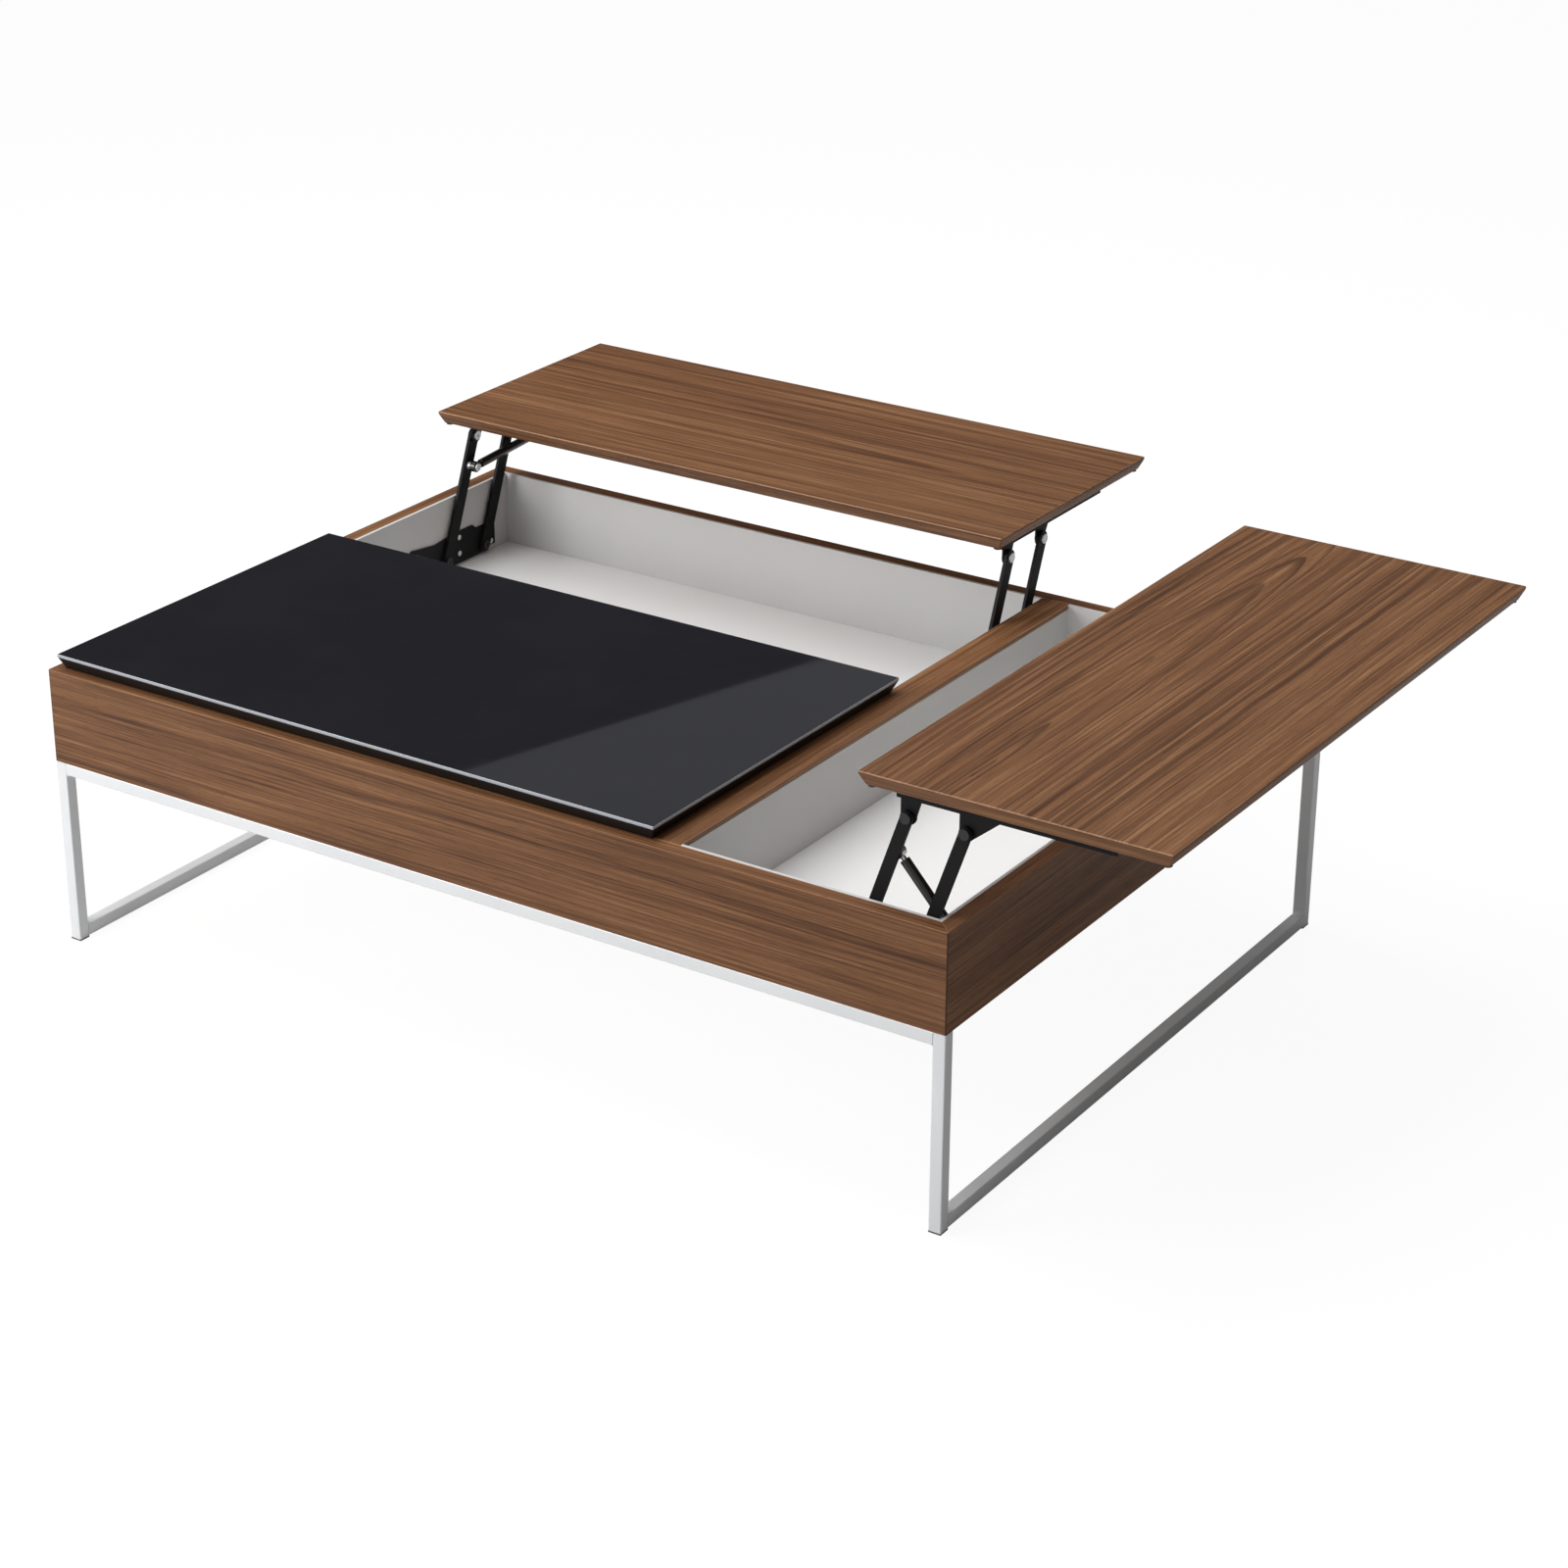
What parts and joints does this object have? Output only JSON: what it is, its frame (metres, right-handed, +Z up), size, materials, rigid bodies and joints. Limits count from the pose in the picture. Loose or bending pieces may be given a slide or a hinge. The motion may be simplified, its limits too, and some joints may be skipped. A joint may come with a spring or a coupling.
{
  "type": "lift top coffee table",
  "caption": "Low coffee table with a walnut storage case on a square tube frame; a rear top and a right top rise and swing outwards on parallel arms beside a fixed gloss black top.",
  "frame": {"origin": "on the floor, under the middle of the footprint with both tops raised", "axes": "+X along the table's length towards the right top, +Y from the front panel to the back, +Z up"},
  "size_m": [1.435, 1.062, 0.487],
  "materials": {
    "walnut": "satin walnut veneer with straight grain",
    "pale_lining": "matt pale grey laminate",
    "black_lacquer": "gloss black lacquer",
    "black_glass": "polished, back-painted black",
    "black_steel": "black powder coat",
    "silver_frame": "light silver-grey satin powder coat",
    "zinc": "bright zinc plate",
    "rubber": "matt",
    "birch": "plain sawn, unfinished"
  },
  "bodies": {
    "root": {"front_panel": "walnut", "back_panel": "walnut", "left_panel": "walnut", "right_panel": "walnut", "bay_liner_front": "pale_lining", "bay_liner_left": "pale_lining", "bay_liner_back": "pale_lining", "box_liner_front": "pale_lining", "box_liner_right": "pale_lining", "box_liner_back": "pale_lining", "divider_left_board": "pale_lining", "divider_right_board": "pale_lining", "divider_cap": "walnut", "bottom_panel": "pale_lining", "bottom_cleats": "birch", "cross_rail": "pale_lining", "corner_splines": "birch", "fixed_top_board": "black_lacquer", "fixed_top_glass": "black_glass", "fixed_top_batten": "birch", "fixed_top_screws": "zinc", "front_rail": "silver_frame", "back_rail": "silver_frame", "front_left_leg": "silver_frame", "front_right_leg": "silver_frame", "back_left_leg": "silver_frame", "back_right_leg": "silver_frame", "left_runner": "silver_frame", "right_runner": "silver_frame", "floor_glides": "rubber", "frame_screws": "zinc", "rear_base_plates": "black_steel", "right_base_plates": "black_steel", "rear_base_pins": "zinc", "right_base_pins": "zinc", "plate_screws": "zinc"},
    "rear_front_arms": {"rear_front_arms": "black_steel", "rear_strut_stud": "zinc"},
    "rear_back_arms": {"rear_back_arms": "black_steel"},
    "rear_top": {"rear_top_board": "walnut", "rear_top_rails": "black_steel", "rear_top_pins": "zinc", "rear_top_screws": "zinc", "rear_top_bumpers": "rubber", "rear_strut_bracket": "black_steel"},
    "rear_strut_cylinder": {"rear_strut_cylinder": "black_steel"},
    "rear_strut_rod": {"rear_strut_rod": "zinc"},
    "right_inner_arms": {"right_inner_arms": "black_steel"},
    "right_outer_arms": {"right_outer_arms": "black_steel", "right_strut_stud": "zinc"},
    "right_top": {"right_top_board": "walnut", "right_top_rails": "black_steel", "right_top_pins": "zinc", "right_top_screws": "zinc", "right_top_bumpers": "rubber"},
    "right_strut_cylinder": {"right_strut_cylinder": "black_steel"},
    "right_strut_rod": {"right_strut_rod": "zinc"}
  },
  "joints": [
    {"name": "rear_lift", "type": "hinge", "parent": "root", "child": "rear_front_arms", "pos_m": [0, 0.1644, 0.262], "axis": [1, 0, 0], "range_deg": [0, 91.32]},
    {"name": "rear_top_level", "type": "hinge", "parent": "rear_front_arms", "child": "rear_top", "pos_m": [0, 0.227, 0.418], "axis": [1, 0, 0], "range_deg": [-91.33, 0]},
    {"name": "rear_back_arm_swing", "type": "hinge", "parent": "root", "child": "rear_back_arms", "pos_m": [0, 0.2424, 0.262], "axis": [1, 0, 0], "range_deg": [0, 91.33]},
    {"name": "rear_strut_swing", "type": "hinge", "parent": "rear_front_arms", "child": "rear_strut_cylinder", "pos_m": [0, 0.2121, 0.38088], "axis": [1, 0, 0], "range_deg": [-96.69, 0]},
    {"name": "rear_strut_stroke", "type": "slide", "parent": "rear_strut_cylinder", "child": "rear_strut_rod", "axis": [0, 0.9982, 0.0608], "range_m": [-0.05283, 0]},
    {"name": "right_lift", "type": "hinge", "parent": "root", "child": "right_inner_arms", "pos_m": [0.35493, 0, 0.262], "axis": [0, -1, 0], "range_deg": [0, 92.41]},
    {"name": "right_top_level", "type": "hinge", "parent": "right_inner_arms", "child": "right_top", "pos_m": [0.4165, 0, 0.441], "axis": [0, -1, 0], "range_deg": [-92.42, 0]},
    {"name": "right_outer_arm_swing", "type": "hinge", "parent": "root", "child": "right_outer_arms", "pos_m": [0.42193, 0, 0.262], "axis": [0, -1, 0], "range_deg": [0, 92.42]},
    {"name": "right_strut_swing", "type": "hinge", "parent": "right_outer_arms", "child": "right_strut_cylinder", "pos_m": [0.44958, 0, 0.34238], "axis": [0, -1, 0], "range_deg": [-52.43, 0]},
    {"name": "right_strut_stroke", "type": "slide", "parent": "right_strut_cylinder", "child": "right_strut_rod", "axis": [-0.6749, 0, 0.7379], "range_m": [0, 0.04997]}
  ],
  "couplings": [
    {"joint": "rear_top_level", "follows": "rear_lift", "ratio": -1},
    {"joint": "rear_back_arm_swing", "follows": "rear_lift", "ratio": 1},
    {"joint": "rear_strut_swing", "follows": "rear_lift", "ratio": -1.0587},
    {"joint": "rear_strut_stroke", "follows": "rear_lift", "m_per_rad": -0.033084},
    {"joint": "right_top_level", "follows": "right_lift", "ratio": -1},
    {"joint": "right_outer_arm_swing", "follows": "right_lift", "ratio": 1},
    {"joint": "right_strut_swing", "follows": "right_lift", "ratio": -0.56725},
    {"joint": "right_strut_stroke", "follows": "right_lift", "m_per_rad": 0.030924}
  ]
}
